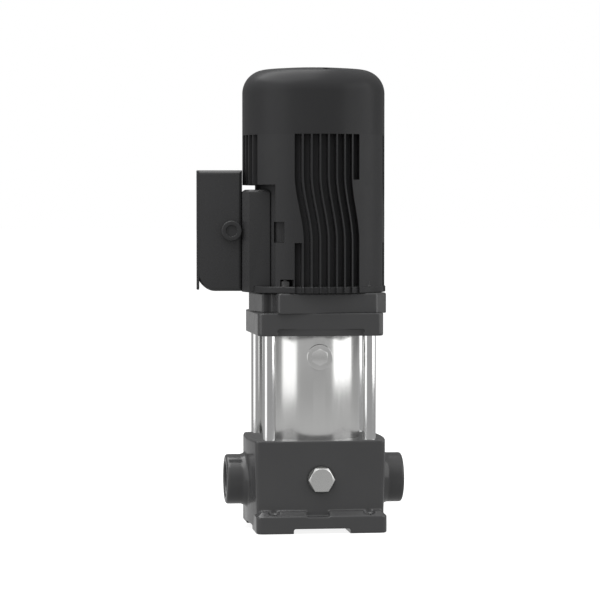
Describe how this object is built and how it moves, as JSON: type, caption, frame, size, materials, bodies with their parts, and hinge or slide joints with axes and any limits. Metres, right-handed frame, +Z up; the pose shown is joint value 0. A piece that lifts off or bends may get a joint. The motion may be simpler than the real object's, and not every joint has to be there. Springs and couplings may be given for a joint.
{
  "type": "vertical multistage pump",
  "caption": "Vertical inline multistage pump: square foot with side ports, polished jacket between tie rods, finned motor with fan cowl and side terminal box.",
  "frame": {"origin": "centre of the foot's bolt pattern, at the underside of the foot, on the shaft axis", "axes": "+Z up along the shaft, -Y the front with the drain and vent plugs, -X the suction port and terminal box side, +X the discharge port"},
  "size_m": [0.2384, 0.166, 0.5255],
  "materials": {
    "cast_iron_paint": "satin",
    "motor_paint": "satin",
    "cowl_paint": "satin",
    "box_paint": "satin",
    "polished_steel": "polished",
    "rod_steel": "polished",
    "bright_steel": "satin",
    "dark_steel": "satin",
    "stage_steel": "satin",
    "lamination": "matte",
    "copper": "satin",
    "brass": "satin",
    "ceramic": "satin",
    "seal_rubber": "matte",
    "fibre_washer": "matte",
    "black_plastic": "matte"
  },
  "bodies": {
    "pump_body": {"base_casting": "cast_iron_paint", "jacket": "polished_steel", "jacket_seals": "seal_rubber", "tie_rods": "rod_steel", "tie_rod_washers": "bright_steel", "tie_rod_nuts": "bright_steel", "inlet_spider": "stage_steel", "lower_bearing_bush": "ceramic", "discharge_ring": "stage_steel", "pump_head": "cast_iron_paint", "seal_seat": "ceramic", "motor_flange": "motor_paint", "motor_frame": "motor_paint", "flange_bolts": "dark_steel", "stator_core": "lamination", "stator_windings": "copper", "bearing_outer_rings": "bright_steel", "wave_washer": "bright_steel", "upper_end_shield": "motor_paint", "shield_screws": "dark_steel", "fan_cowl": "cowl_paint", "cowl_screws": "dark_steel", "terminal_adapter": "box_paint", "terminal_housing": "box_paint", "terminal_cover": "box_paint", "cover_screws": "dark_steel", "terminal_block": "black_plastic", "terminal_studs": "brass", "gland_body": "black_plastic", "gland_seal": "seal_rubber", "vent_boss": "polished_steel", "stage_casing_1": "stage_steel", "diffuser_1": "stage_steel", "stage_casing_2": "stage_steel", "diffuser_2": "stage_steel", "stage_casing_3": "stage_steel", "diffuser_3": "stage_steel", "stage_casing_4": "stage_steel", "diffuser_4": "stage_steel"},
    "rotor": {"motor_shaft": "dark_steel", "pump_shaft": "bright_steel", "coupling_pin": "dark_steel", "shaft_sleeves": "bright_steel", "shaft_nut": "bright_steel", "rotating_seal_ring": "ceramic", "rotor_core": "lamination", "bearing_inner_rings": "bright_steel", "fan": "black_plastic", "fan_clip": "dark_steel", "impeller_1": "stage_steel", "impeller_2": "stage_steel", "impeller_3": "stage_steel", "impeller_4": "stage_steel"},
    "bearing_balls": {"bearing_balls": "bright_steel"},
    "drain_washer": {"drain_washer": "fibre_washer"},
    "drain_plug": {"drain_plug": "bright_steel"},
    "vent_washer": {"vent_washer": "fibre_washer"},
    "vent_plug": {"vent_plug": "polished_steel"}
  },
  "joints": [
    {"name": "shaft_spin", "type": "hinge", "parent": "pump_body", "child": "rotor", "pos_m": [0, 0, 0.3], "axis": [0, 0, 1], "continuous": true},
    {"name": "ball_orbit", "type": "hinge", "parent": "pump_body", "child": "bearing_balls", "pos_m": [0, 0, 0.3], "axis": [0, 0, 1], "continuous": true},
    {"name": "drain_plug_out", "type": "slide", "parent": "pump_body", "child": "drain_washer", "axis": [0, -1, 0], "range_m": [0, 0.01451]},
    {"name": "drain_plug_turn", "type": "hinge", "parent": "drain_washer", "child": "drain_plug", "pos_m": [0, -0.07, 0.06], "axis": [0, -1, 0], "range_deg": [0, 2881]},
    {"name": "vent_plug_out", "type": "slide", "parent": "pump_body", "child": "vent_washer", "axis": [0, -1, 0], "range_m": [0, 0.00936]},
    {"name": "vent_plug_turn", "type": "hinge", "parent": "vent_washer", "child": "vent_plug", "pos_m": [0, -0.055, 0.197], "axis": [0, -1, 0], "range_deg": [0, 2521]}
  ],
  "couplings": [
    {"joint": "ball_orbit", "follows": "shaft_spin", "ratio": 0.3836},
    {"joint": "drain_plug_turn", "follows": "drain_plug_out", "rad_per_m": 3463.7},
    {"joint": "vent_plug_turn", "follows": "vent_plug_out", "rad_per_m": 4699.5}
  ]
}
